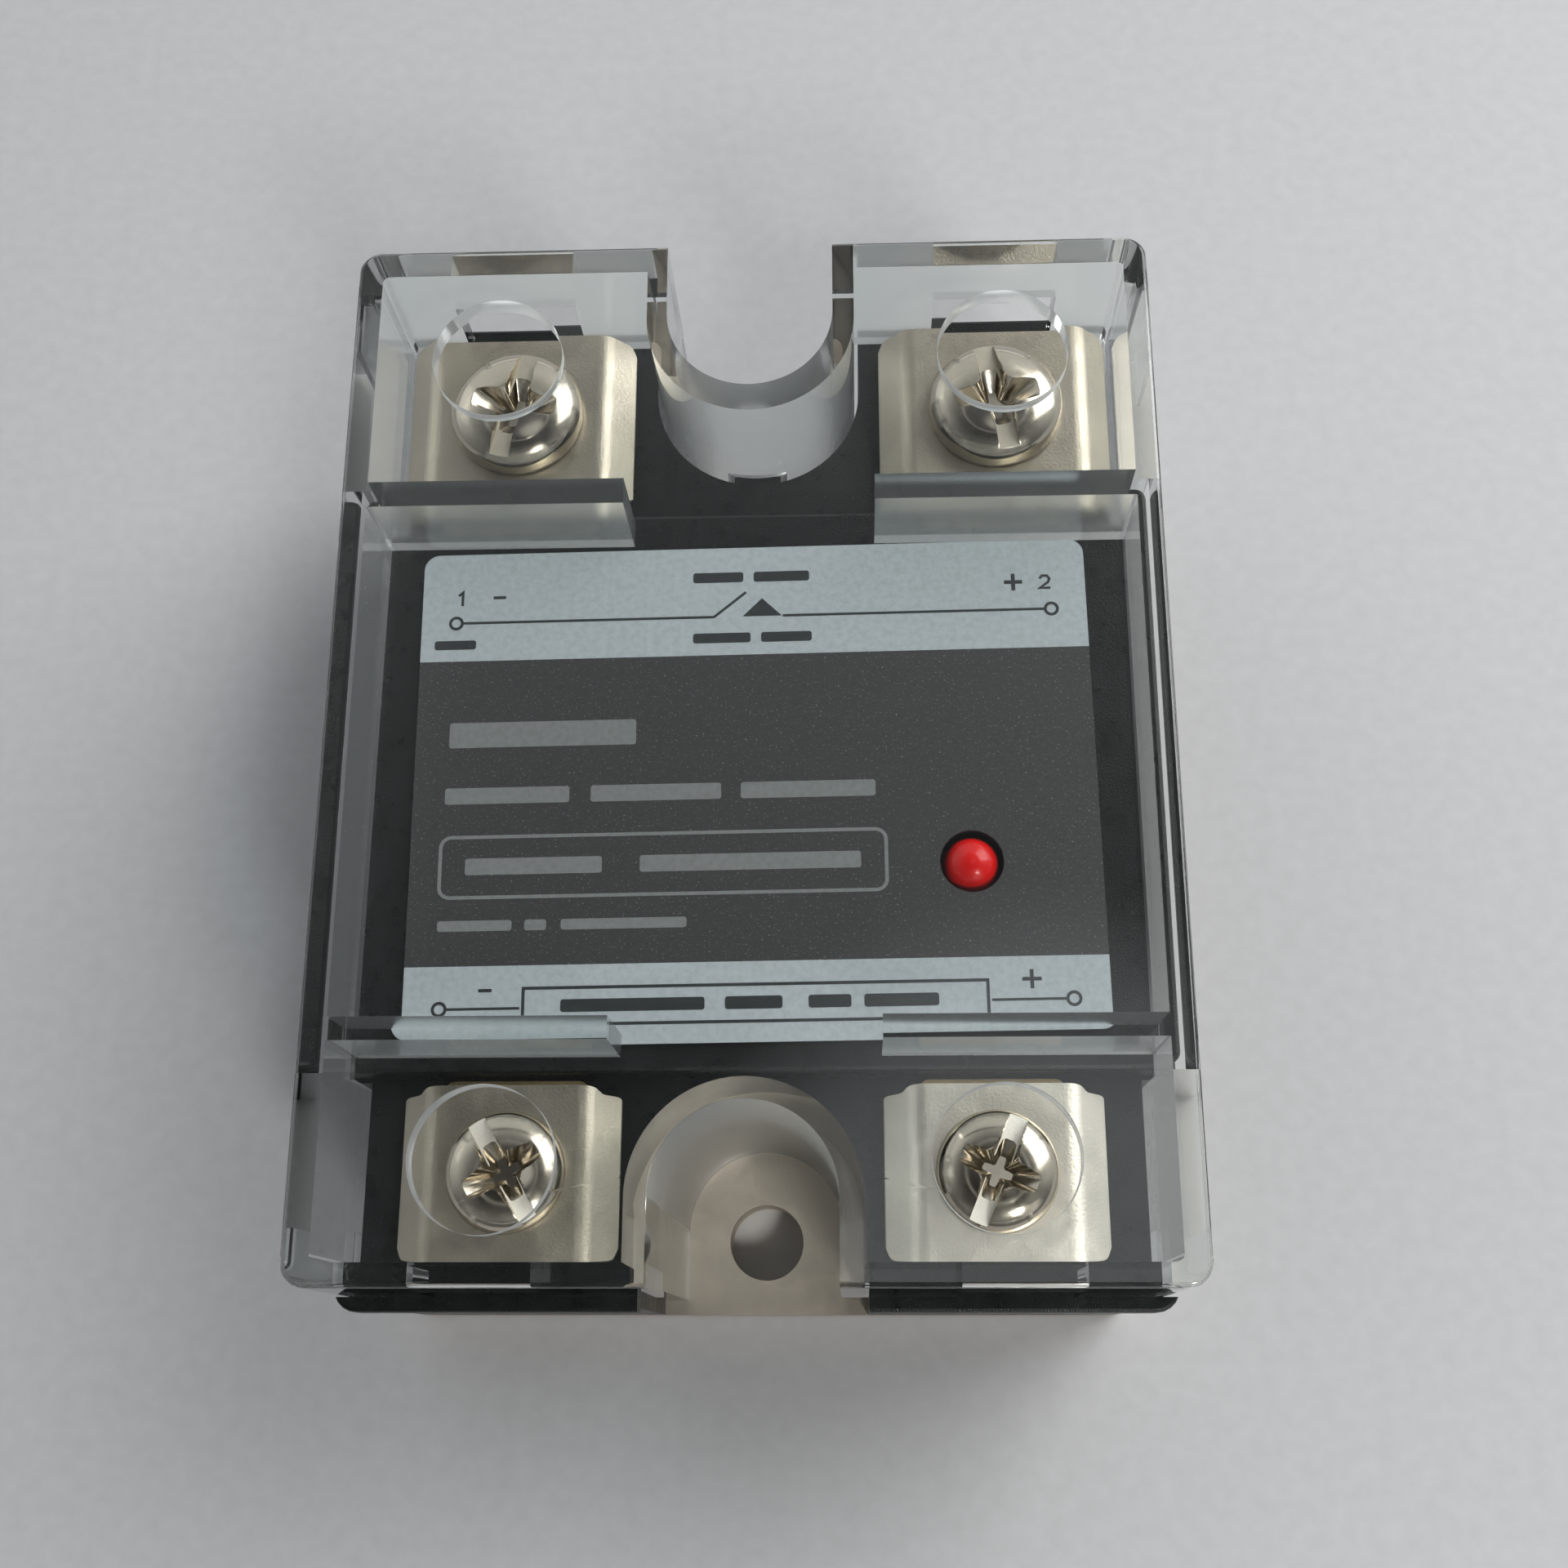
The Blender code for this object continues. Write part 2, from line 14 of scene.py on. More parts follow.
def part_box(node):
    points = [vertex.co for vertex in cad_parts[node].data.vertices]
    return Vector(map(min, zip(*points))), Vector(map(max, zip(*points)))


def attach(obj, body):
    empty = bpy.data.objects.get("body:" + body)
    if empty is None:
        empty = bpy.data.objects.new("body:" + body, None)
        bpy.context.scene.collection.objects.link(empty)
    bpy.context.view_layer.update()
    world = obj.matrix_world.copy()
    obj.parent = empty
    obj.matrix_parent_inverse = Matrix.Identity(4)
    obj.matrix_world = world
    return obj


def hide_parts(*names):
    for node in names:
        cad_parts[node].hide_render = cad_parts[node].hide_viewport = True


MM = 0.001
PAST = 2.0  # how far a cutter runs past the face it opens
SIDES = {"left": -1, "right": 1}
ENDS = {"output": 1, "input": -1}

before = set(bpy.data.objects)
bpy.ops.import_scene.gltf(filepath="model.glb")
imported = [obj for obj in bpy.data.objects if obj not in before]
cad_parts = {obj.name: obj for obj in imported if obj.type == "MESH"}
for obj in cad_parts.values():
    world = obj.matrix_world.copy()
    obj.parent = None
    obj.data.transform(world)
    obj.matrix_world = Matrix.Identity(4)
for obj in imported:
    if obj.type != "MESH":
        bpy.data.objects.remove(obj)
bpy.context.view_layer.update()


def span(node):
    """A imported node's lowest and highest corners in millimetres."""
    low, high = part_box(node)
    return tuple(low / MM), tuple(high / MM)


# ---------------------------------------------------------------- camera, floor and light

CAMERA_PLACE = (5.62, -32.29, 118.63)
CAMERA_TURN = (0.3063, 0.0395, 0.0013)
CAMERA_LENS = 42.12  # on a sensor 36 wide
SKY_NEAR, SKY_FAR = 0.14, 1.05  # the room's brightness behind the camera and at the far side
SKY_ABOVE = 0.1  # the share of it that is left straight above
NEAR_TO_FAR = (-0.55, 0.65)  # a direction's y where the near and the far brightness are reached
UP_TO_LEVEL = (0.97, 0.5)  # a direction's z where it counts as straight above, and where it no longer does
GLOW_TOWARDS = (0.1, 0.05, 1.0)  # a pale patch of ceiling, a little right of the middle
GLOW = 0.62
GLOW_EDGE, GLOW_CORE = 12, 4  # degrees from its middle


def make_camera():
    data = bpy.data.cameras.new("camera")
    data.lens = CAMERA_LENS
    data.sensor_width = 36
    data.clip_start = 0.002
    data.clip_end = 20
    camera = bpy.data.objects.new("camera", data)
    camera.location = [v * MM for v in CAMERA_PLACE]
    camera.rotation_euler = CAMERA_TURN
    bpy.context.scene.collection.objects.link(camera)
    bpy.context.scene.camera = camera


def make_softbox(name, location, aim, size, power, color):
    data = bpy.data.lights.new(name, "AREA")
    data.shape = "RECTANGLE"
    data.size, data.size_y = (v * MM for v in size)
    data.energy = power
    data.color = color
    lamp = bpy.data.objects.new(name, data)
    lamp.location = [v * MM for v in location]
    towards = Vector(aim) - Vector(location)
    lamp.rotation_euler = towards.to_track_quat("-Z", "Y").to_euler()
    bpy.context.scene.collection.objects.link(lamp)


def make_room_light():
    """A soft room: dark straight above and behind the camera, brighter towards the far side.

    One pale patch of ceiling shows in the near terminals.
    """
    world = bpy.data.worlds.new("soft_room")
    world.use_nodes = True
    tree = world.node_tree
    sky = tree.nodes["Background"]
    sky.inputs["Color"].default_value = (0.95, 0.975, 1.0, 1)
    where = tree.nodes.new("ShaderNodeTexCoord")
    parts = tree.nodes.new("ShaderNodeSeparateXYZ")
    tree.links.new(where.outputs["Generated"], parts.inputs["Vector"])

    def fade(value, start, end, low, high):
        node = tree.nodes.new("ShaderNodeMapRange")
        node.interpolation_type = "SMOOTHSTEP"
        for key, number in (("From Min", start), ("From Max", end), ("To Min", low), ("To Max", high)):
            node.inputs[key].default_value = number
        tree.links.new(value, node.inputs["Value"])
        return node.outputs["Result"]

    aim = tree.nodes.new("ShaderNodeVectorMath")
    aim.operation = "DOT_PRODUCT"
    aim.inputs[1].default_value = Vector(GLOW_TOWARDS).normalized()
    tree.links.new(where.outputs["Generated"], aim.inputs[0])
    edge, core = (math.cos(math.radians(angle)) for angle in (GLOW_EDGE, GLOW_CORE))
    room = tree.nodes.new("ShaderNodeMath")
    room.operation = "MULTIPLY_ADD"
    tree.links.new(fade(parts.outputs["Z"], *UP_TO_LEVEL, SKY_ABOVE, 1.0), room.inputs[0])
    tree.links.new(fade(parts.outputs["Y"], *NEAR_TO_FAR, SKY_NEAR, SKY_FAR), room.inputs[1])
    tree.links.new(fade(aim.outputs["Value"], edge, core, 0.0, GLOW), room.inputs[2])
    tree.links.new(room.outputs["Value"], sky.inputs["Strength"])
    bpy.context.scene.world = world


def make_stage():
    bpy.ops.mesh.primitive_plane_add(size=6)
    floor = bpy.context.object
    floor.name = "floor"
    floor.location.z = -0.02 * MM
    floor.data.materials.append(matt_paint("floor", (0.6, 0.605, 0.62), 0.6))
    make_room_light()
    make_softbox("window", (410, 290, 360), (0, 0, 0), (430, 460), 2.65, (1, 0.99, 0.97))
    make_softbox("near_lamp", (170, -300, 320), (0, 0, 20), (70, 70), 0.7, (1, 0.98, 0.95))
    bpy.context.scene.view_settings.view_transform = "Standard"


# ---------------------------------------------------------------- materials


class Nodes:
    """A small helper that adds shader nodes and links to one material."""

    def __init__(self, name):
        self.material = bpy.data.materials.new(name)
        self.material.use_nodes = True
        self.tree = self.material.node_tree
        self.shader = self.tree.nodes["Principled BSDF"]
        self.output = self.tree.nodes["Material Output"]

    def add(self, kind, inputs=None, **settings):
        node = self.tree.nodes.new("ShaderNode" + kind)
        for key, value in settings.items():
            setattr(node, key, value)
        for key, value in (inputs or {}).items():
            self.feed(node.inputs[key], value)
        return node

    def feed(self, socket, value):
        if isinstance(value, bpy.types.NodeSocket):
            self.tree.links.new(value, socket)
        else:
            socket.default_value = value

    def set(self, **values):
        for key, value in values.items():
            self.feed(self.shader.inputs[key.replace("_", " ")], value)

    def noise(self, scale, detail, rough=0.5):
        """Noise of so many cells per metre."""
        where = self.add("TexCoord").outputs["Object"]
        made = self.add("TexNoise", {"Vector": where, "Scale": scale, "Detail": detail, "Roughness": rough})
        return made.outputs["Fac"]

    def spread(self, value, low, high, least, most):
        """A number that goes from least to most as the value goes from low to high."""
        numbers = {"Value": value, "From Min": low, "From Max": high, "To Min": least, "To Max": most}
        return self.add("MapRange", numbers).outputs["Result"]

    def mixed(self, share, first, second):
        """A mix of two colours, the second by its share."""
        color_a, color_b, color_out = 6, 7, 2  # a Mix node's sockets for colours
        mix = self.add("Mix", {0: share}, data_type="RGBA")
        self.feed(mix.inputs[color_a], first)
        self.feed(mix.inputs[color_b], second)
        return mix.outputs[color_out]

    def ramp(self, value, low, high, dark, light):
        """A colour that goes from dark to light as the value goes from low to high."""
        return self.mixed(self.spread(value, low, high, 0.0, 1.0), (*dark, 1), (*light, 1))

    def bump(self, height, strength, distance):
        numbers = {"Height": height, "Strength": strength, "Distance": distance * MM}
        self.set(Normal=self.add("Bump", numbers).outputs["Normal"])

    def blend(self, share, first, second):
        """A mix of two shaders, the second by its share."""
        return self.add("MixShader", {0: share, 1: first, 2: second}).outputs[0]


def matt_paint(name, color, roughness):
    made = Nodes(name)
    made.set(Roughness=roughness)
    grain = made.noise(900, 3)
    shade = [0.94 * v for v in color]
    made.set(Base_Color=made.ramp(grain, 0.3, 0.7, shade, color))
    return made.material


def nickel_plate(name, color, roughness, grain):
    """Satin nickel over pressed steel: fine grain, faint clouding and a few rubbed places."""
    made = Nodes(name)
    clouds = made.noise(220, 5, 0.6)
    dark = [0.84 * v for v in color]
    made.set(Metallic=1.0)
    made.set(Base_Color=made.ramp(clouds, 0.3, 0.7, dark, color))
    rubbed = made.noise(700, 6, 0.65)
    made.set(Roughness=made.spread(rubbed, 0.3, 0.7, roughness - 0.06, roughness + 0.08))
    made.bump(made.noise(6500, 3, 0.55), grain, 0.02)
    return made.material


def black_plastic():
    """Moulded body plastic with the fine sparkle of a spark-eroded mould."""
    made = Nodes("black_plastic")
    made.set(Roughness=made.spread(made.noise(900, 3), 0.3, 0.7, 0.24, 0.4))
    clouds = made.noise(300, 3)
    made.set(Base_Color=made.ramp(clouds, 0.3, 0.7, (0.004, 0.005, 0.005), (0.007, 0.009, 0.009)))
    made.shader.inputs["Specular IOR Level"].default_value = 0.3
    made.bump(made.noise(11000, 2, 0.5), 0.6, 0.05)
    return made.material


FROST = (0.86, 0.88, 0.88, 1)


def clear_plastic(name="clear_plastic", roughness=0.02, haze=0.0):
    """Clear moulded plastic that lets lamp light through to what it covers.

    The haze is the share of the light that frosting scatters, where the mould left the plastic frosted.
    """
    made = Nodes(name)
    made.set(Base_Color=(0.97, 0.985, 0.98, 1), Roughness=roughness, IOR=1.58)
    made.shader.inputs["Transmission Weight"].default_value = 1.0
    path = made.add("LightPath")
    numbers = {0: path.outputs["Is Shadow Ray"], 1: path.outputs["Is Diffuse Ray"]}
    passed = made.add("Math", numbers, operation="MAXIMUM")
    through = made.add("BsdfTransparent", {"Color": (0.88, 0.9, 0.9, 1)})
    surface = made.blend(passed.outputs[0], made.shader.outputs[0], through.outputs[0])
    if haze:
        milk = made.add("BsdfTranslucent", {"Color": FROST})
        white = made.add("BsdfDiffuse", {"Color": FROST})
        surface = made.blend(haze, surface, made.blend(0.5, milk.outputs[0], white.outputs[0]))
    made.feed(made.output.inputs["Surface"], surface)
    return made.material


def print_ink(name, color, dust=0.0):
    """Printed film: a matt coat with faint mottling and, if asked, white specks of dust."""
    made = Nodes(name)
    made.set(Roughness=0.45)
    dark = [0.86 * v for v in color]
    coat = made.ramp(made.noise(2600, 4, 0.6), 0.35, 0.6, dark, color)
    specks = made.spread(made.noise(8000, 1), 0.64, 0.74, 0.0, dust)
    made.set(Base_Color=made.mixed(specks, coat, (1, 1, 1, 1)))
    made.bump(made.noise(7000, 3), 0.4, 0.025)
    return made.material


def lamp_plastic():
    """Red lens that light soaks into, with faint clouding and a polished coat."""
    made = Nodes("lamp_red")
    clouds = made.noise(500, 2)
    made.set(Base_Color=made.ramp(clouds, 0.3, 0.7, (0.8, 0.006, 0.005), (0.98, 0.01, 0.008)))
    made.set(Roughness=0.25)
    made.shader.inputs["Specular IOR Level"].default_value = 0.2
    made.shader.inputs["Subsurface Weight"].default_value = 0.3
    made.shader.inputs["Subsurface Radius"].default_value = (1.0, 0.12, 0.08)
    made.shader.inputs["Subsurface Scale"].default_value = 0.9 * MM
    made.shader.inputs["Coat Weight"].default_value = 0.5
    made.shader.inputs["Coat Roughness"].default_value = 0.04
    return made.material


def cast_metal(name, color, roughness):
    """Plain metal with slight tarnish."""
    made = Nodes(name)
    made.set(Metallic=1.0)
    tarnish = made.noise(350, 5, 0.6)
    dark = [0.78 * v for v in color]
    made.set(Base_Color=made.ramp(tarnish, 0.35, 0.7, dark, color))
    made.set(Roughness=made.spread(made.noise(900, 5), 0.3, 0.7, roughness - 0.05, roughness + 0.1))
    return made.material


def moulded(name, color, roughness, grain=0.2):
    """Moulded or painted part with a light grain."""
    made = Nodes(name)
    dark = [0.85 * v for v in color]
    made.set(Base_Color=made.ramp(made.noise(1200, 4), 0.3, 0.7, dark, color))
    made.set(Roughness=made.spread(made.noise(800, 3), 0.3, 0.7, roughness - 0.05, roughness + 0.08))
    made.bump(made.noise(4000, 3), grain, 0.02)
    return made.material


# ---------------------------------------------------------------- shapes


def place(name, mesh):
    """Puts a mesh in the scene as a guide, which shows only once it is settled with a material."""
    obj = bpy.data.objects.new(name, mesh)
    bpy.context.scene.collection.objects.link(obj)
    obj.hide_render = True
    obj.display_type = "WIRE"
    return obj


def mesh_of(name, made):
    """Turns a bmesh into a mesh."""
    mesh = bpy.data.meshes.new(name)
    made.to_mesh(mesh)
    made.free()
    return mesh


def bevelled(made, edges, radius, segments):
    bmesh.ops.bevel(made, geom=edges, offset=radius * MM, segments=segments, profile=0.5, affect="EDGES")


def box(name, x, y, z, upright=0.0, top=0.0, flare=(0.0, 0.0)):
    """A box between three spans, with rounded upright and top edges and a wider foot if asked."""
    spans = (sorted(x), sorted(y), sorted(z))
    made = bmesh.new()
    bmesh.ops.create_cube(made, size=2.0)
    for vert in made.verts:
        signs = tuple(vert.co)
        vert.co = [reach[0] * MM if sign < 0 else reach[1] * MM for reach, sign in zip(spans, signs)]
        if signs[2] < 0:
            vert.co.x += signs[0] * flare[0] * MM
            vert.co.y += signs[1] * flare[1] * MM
    if upright:
        edges = [e for e in made.edges if abs(e.verts[0].co.z - e.verts[1].co.z) > 0.01 * MM]
        bevelled(made, edges, upright, 8)
    if top:
        level = spans[2][1] * MM
        edges = [e for e in made.edges if all(abs(v.co.z - level) < 0.001 * MM for v in e.verts)]
        bevelled(made, edges, top, 3)
    return place(name, mesh_of(name, made))


def cylinder(name, x, y, radius, z, sides=96):
    made = bmesh.new()
    reach, depth = radius * MM, (z[1] - z[0]) * MM
    bmesh.ops.create_cone(made, cap_ends=True, segments=sides, radius1=reach, radius2=reach, depth=depth)
    bmesh.ops.translate(made, verts=made.verts, vec=(x * MM, y * MM, (z[0] + z[1]) / 2 * MM))
    return place(name, mesh_of(name, made))


def slab(name, outlines, z):
    """Flat outlines of (x, y) points with thickness; an outline inside another is a hole."""
    curve = bpy.data.curves.new(name, "CURVE")
    curve.dimensions = "2D"
    curve.fill_mode = "BOTH"
    curve.extrude = (z[1] - z[0]) / 2 * MM
    for outline in outlines:
        spline = curve.splines.new("POLY")
        spline.points.add(len(outline) - 1)
        for point, (x, y) in zip(spline.points, outline):
            point.co = (x * MM, y * MM, 0, 1)
        spline.use_cyclic_u = True
    drawn = bpy.data.objects.new(name, curve)
    bpy.context.scene.collection.objects.link(drawn)
    graph = bpy.context.evaluated_depsgraph_get()
    mesh = bpy.data.meshes.new_from_object(drawn.evaluated_get(graph))
    bpy.data.objects.remove(drawn, do_unlink=True)
    made = bmesh.new()
    made.from_mesh(mesh)
    bmesh.ops.remove_doubles(made, verts=made.verts, dist=0.0005 * MM)
    bmesh.ops.recalc_face_normals(made, faces=made.faces)
    bmesh.ops.translate(made, verts=made.verts, vec=(0, 0, (z[0] + z[1]) / 2 * MM))
    return place(name, mesh_of(name, made))


def arc(centre, radius, start, end, steps=16):
    points = []
    for i in range(steps + 1):
        angle = math.radians(start + (end - start) * i / steps)
        points.append((centre[0] + radius * math.cos(angle), centre[1] + radius * math.sin(angle)))
    return points


def rounded(x, y, radius, steps=8):
    """A rectangle's outline with round corners."""
    low_x, high_x = x[0] + radius, x[1] - radius
    low_y, high_y = y[0] + radius, y[1] - radius
    corners = ((high_x, high_y, 0), (low_x, high_y, 90), (low_x, low_y, 180), (high_x, low_y, 270))
    outline = []
    for cx, cy, turn in corners:
        outline += arc((cx, cy), radius, turn, turn + 90, steps)
    return outline


def notch(name, radius, centre, mouth, z):
    """A U shaped slab: round about (0, centre) and open towards y = mouth."""
    start = 180 if mouth > 0 else 0
    outline = arc((0, centre), radius, start, start + 180, 64)
    outline.append((outline[-1][0], mouth))
    outline.append((outline[0][0], mouth))
    return slab(name, [outline], z)


def turned(name, profile, steps=96):
    """A body of revolution about Z from (radius, height) points that run down its outer side."""
    line = bpy.data.meshes.new(name)
    points = [(radius * MM, 0, height * MM) for radius, height in profile]
    line.from_pydata(points, [(i, i + 1) for i in range(len(points) - 1)], [])
    obj = place(name, line)
    spin = obj.modifiers.new("turn", "SCREW")
    spin.steps = spin.render_steps = steps
    spin.use_merge_vertices = True
    spin.merge_threshold = 0.000001
    return settled(obj)


def eased(points, radii, steps=6):
    """An outline whose corners are rounded, each over its own distance along both edges."""
    outline = []
    for i, corner in enumerate(points):
        here = Vector(corner)
        reach = radii[i % len(radii)]
        before = (Vector(points[i - 1]) - here).normalized() * reach + here
        after = (Vector(points[(i + 1) % len(points)]) - here).normalized() * reach + here
        for k in range(steps + 1):
            t = k / steps
            outline.append(tuple(before * (1 - t) ** 2 + here * 2 * t * (1 - t) + after * t**2))
    return outline


def ribbon(points, width):
    """The outline of a line of even width drawn through the points."""
    line = [Vector(point) for point in points]
    runs = [(end - start).normalized() for start, end in zip(line, line[1:])]
    sides = ([], [])
    for i, here in enumerate(line):
        before = runs[max(i - 1, 0)]
        after = runs[min(i, len(runs) - 1)]
        middle = (before + after).normalized()
        across = Vector((-middle.y, middle.x))
        reach = width / 2 / max(middle.dot(before), 0.4)
        sides[0].append(tuple(here + across * reach))
        sides[1].append(tuple(here - across * reach))
    return sides[0] + sides[1][::-1]


def circle(x, y, radius):
    steps = 48
    return arc((x, y), radius, 0, 360 - 360 / steps, steps - 1)


def tapered(name, outline, top, bottom):
    """A closed plug with one outline, given as (height, scale) at its top and at its bottom."""
    made = bmesh.new()
    rings = []
    for height, scale in (top, bottom):
        ring = [made.verts.new((x * scale * MM, y * scale * MM, height * MM)) for x, y in outline]
        rings.append(ring)
    count = len(outline)
    for i in range(count):
        j = (i + 1) % count
        made.faces.new((rings[1][i], rings[1][j], rings[0][j], rings[0][i]))
    made.faces.new(rings[0])
    made.faces.new(rings[1][::-1])
    bmesh.ops.recalc_face_normals(made, faces=made.faces)
    return place(name, mesh_of(name, made))


def merged(name, *objects):
    """One object that holds the faces of several."""
    made = bmesh.new()
    for obj in objects:
        made.from_mesh(settled(obj).data)
        bpy.data.objects.remove(obj, do_unlink=True)
    return place(name, mesh_of(name, made))


def moved(obj, turn=0.0, to=(0, 0, 0), axis="Z"):
    """Turns an object's mesh by degrees about an axis through the origin, then shifts it."""
    turned_by = Matrix.Rotation(math.radians(turn), 4, axis)
    obj.data.transform(Matrix.Translation([v * MM for v in to]) @ turned_by)
    return obj


def settled(obj, material=None, smooth=None):
    """Bakes an object's modifiers into its mesh, shades it smooth up to an angle and paints it."""
    graph = bpy.context.evaluated_depsgraph_get()
    mesh = bpy.data.meshes.new_from_object(obj.evaluated_get(graph))
    obj.modifiers.clear()
    obj.data = mesh
    if smooth is not None:
        mesh.shade_smooth()
        mesh.set_sharp_from_angle(angle=math.radians(smooth))
    if material is not None:
        mesh.materials.clear()
        mesh.materials.append(material)
        obj.hide_render = False
        obj.display_type = "TEXTURED"
    return obj


def combine(body, operation, *tools):
    """Applies each tool to the body in turn and removes it."""
    for tool in tools:
        step = body.modifiers.new(operation.lower(), "BOOLEAN")
        step.operation = operation
        step.solver = "EXACT"
        step.object = tool
    settled(body)
    for tool in tools:
        bpy.data.objects.remove(tool, do_unlink=True)


def cut(body, *tools):
    combine(body, "DIFFERENCE", *tools)


def join(body, *tools):
    combine(body, "UNION", *tools)


def soften(obj, width, segments=3, angle=40):
    """Rounds the sharp edges a little; show later keeps the flat faces flat in the shading."""
    bevel = obj.modifiers.new("soft_edges", "BEVEL")
    bevel.width = width * MM
    bevel.segments = segments
    bevel.limit_method = "ANGLE"
    bevel.angle_limit = math.radians(angle)
    bevel.use_clamp_overlap = True
    bevel.harden_normals = False
    bevel.miter_outer = "MITER_ARC"


def show(obj, body, material, node=None, smooth=35):
    """Finishes a piece: bakes it, paints it and lets it ride on its body."""
    settled(obj, material, smooth)
    weigh = obj.modifiers.new("flat_faces", "WEIGHTED_NORMAL")
    weigh.keep_sharp = True
    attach(obj, body)
    if node:
        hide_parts(node)


# ---------------------------------------------------------------- clear cover

COVER_SKIN = 1.25
COVER_FLARE = (0.1, 0.25)  # how far the skirts' feet stand out, across and along
CORNER_R = 1.3
NOTCH_R, NOTCH_SKIN, NOTCH_CENTRE = 4.7, 1.2, 24.5
DRIVER_R = 3.66
RIB_X, RIB_BOTTOM = 6.95, 20.98  # where the ribs begin, and how far down they hang
RIBS_Y = ((13.0, 14.5), (-16.7, -15.5))
WIRE_GATES = {"output": (10.6, 17.8), "input": (10.7, 16.9)}
WIRE_GATE_TOP = 23.2
KEYWAY_X, KEYWAY_Y = 1.7, 19.2
EDGE = 0.12  # how far the moulded edges are rounded
SIDE_FOOT = 1.0  # the side skirts end this far above the posts' feet
OVER_BLOCK_Y, OVER_BLOCK_Z = (-17.8, 15.7), 20.7  # the skirts clear the housing's middle block
OVER_LIP_Y, OVER_SHELF_Z = 28.7, 18.3  # and the end walls clear its shelves and their lips
# The share of light that each kind of frosted face scatters.
HAZES = {"frosted_foot": 0.8, "hazy_rib": 0.06, "hazy_wall": 0.42, "hazy_bore": 0.16}
HAZY_ROUGHNESS = 0.16
HEAD_GAP = 0.1  # between a clamp and its screw's head


def screw_place(group, side):
    """Where a terminal's screw stands: its axis and the height its head rests at."""
    low, high = span(f"screw_{group}_{side}")
    clamp_top = span(f"clamp_{group}_{side}")[1][2]
    return (low[0] + high[0]) / 2, (low[1] + high[1]) / 2, clamp_top + HEAD_GAP


def make_cover(material):
    low, high = span("cover")
    half_x = high[0] - COVER_FLARE[0]
    half_y = high[1] - COVER_FLARE[1]
    top, foot = high[2], low[2]
    ceiling = top - COVER_SKIN
    sides = foot + SIDE_FOOT
    outer = ((-half_x, half_x), (-half_y, half_y), (sides, top))
    cover = box("clear_cover", *outer, CORNER_R, 0.3, COVER_FLARE)
    inner_x, inner_y = half_x - COVER_SKIN, half_y - COVER_SKIN
    inner = ((-inner_x, inner_x), (-inner_y, inner_y), (sides - PAST, ceiling))
    room = box("room", *inner, 0.4, 0, COVER_FLARE)
    reach = (-half_x - PAST, half_x + PAST)
    below = [room, box("over_block", reach, OVER_BLOCK_Y, (0, OVER_BLOCK_Z))]
    for end in ENDS.values():
        wall = (end * (inner_y - PAST), end * (half_y + PAST))
        below.append(box("over_lip", reach, (end * OVER_LIP_Y, wall[1]), (0, OVER_SHELF_Z)))
        below.append(box("over_shelf", (-inner_x - 0.2, inner_x + 0.2), wall, (0, OVER_SHELF_Z)))
    cut(cover, *below)
    added = []
    for near, far in RIBS_Y:
        for side in SIDES.values():
            reach = (side * RIB_X, side * (half_x - COVER_SKIN / 2))
            added.append(box("rib", reach, (near, far), (RIB_BOTTOM, top - COVER_SKIN / 2)))
    for end in ENDS.values():
        heights = (foot, top - COVER_SKIN / 2)
        mouth = end * (half_y - 0.2)
        added.append(notch("post", NOTCH_R + NOTCH_SKIN, end * NOTCH_CENTRE, mouth, heights))
    join(cover, *added)
    taken = []
    for end in ENDS.values():
        mouth = end * (half_y + PAST)
        taken.append(notch("bay", NOTCH_R, end * NOTCH_CENTRE, mouth, (foot - 1, top + PAST)))
    for group, end in ENDS.items():
        for side_name, side in SIDES.items():
            x, y, _ = screw_place(group, side_name)
            taken.append(cylinder("driver_hole", x, y, DRIVER_R, (top - PAST, top + PAST)))
            gate = [side * edge for edge in WIRE_GATES[group]]
            reach = (end * (half_y - PAST), end * (half_y + PAST))
            taken.append(box("wire_gate", gate, reach, (OVER_SHELF_Z - 1, WIRE_GATE_TOP)))
    keyway = ((-KEYWAY_X, KEYWAY_X), (KEYWAY_Y - 2, KEYWAY_Y), (foot - 1, OVER_SHELF_Z + 0.1))
    taken.append(box("keyway", *keyway))
    cut(cover, *taken)
    soften(cover, EDGE)
    show(cover, "cover", material, "cover")
    haze_faces(cover, inner_x, inner_y, sides)


def haze_faces(cover, inner_x, inner_y, sides):
    """Gives the faces that the mould left frosted their own plastic."""
    for name, haze in HAZES.items():
        cover.data.materials.append(clear_plastic(name, HAZY_ROUGHNESS, haze))
    frosted_foot, hazy_rib, hazy_wall, hazy_bore = range(1, 5)  # slot 0 is the clear plastic
    screws = [screw_place(group, side)[:2] for group in ENDS for side in SIDES]
    for face in cover.data.polygons:
        x, y, z = face.center / MM
        across, along, up = (abs(v) for v in face.normal)
        beside_block = OVER_BLOCK_Y[0] < y < OVER_BLOCK_Y[1]
        if face.normal.z < -0.9 and abs(x) > inner_x and z < sides + 0.2:
            face.material_index = frosted_foot
        elif across > 0.9 and inner_x - 0.1 < abs(x) < inner_x + 0.2 and not beside_block:
            face.material_index = hazy_wall
        elif along > 0.9 and inner_y - 0.1 < y < inner_y + 0.3:
            face.material_index = hazy_wall
        elif along > 0.9 and abs(x) < inner_x and any(near - 0.1 < y < far + 0.1 for near, far in RIBS_Y):
            face.material_index = hazy_rib
        elif up < 0.3 and abs(math.hypot(x, abs(y) - NOTCH_CENTRE) - NOTCH_R) < 0.15:
            face.material_index = hazy_bore
        elif up < 0.3 and any(abs(math.hypot(x - sx, y - sy) - DRIVER_R) < 0.1 for sx, sy in screws):
            face.material_index = hazy_wall


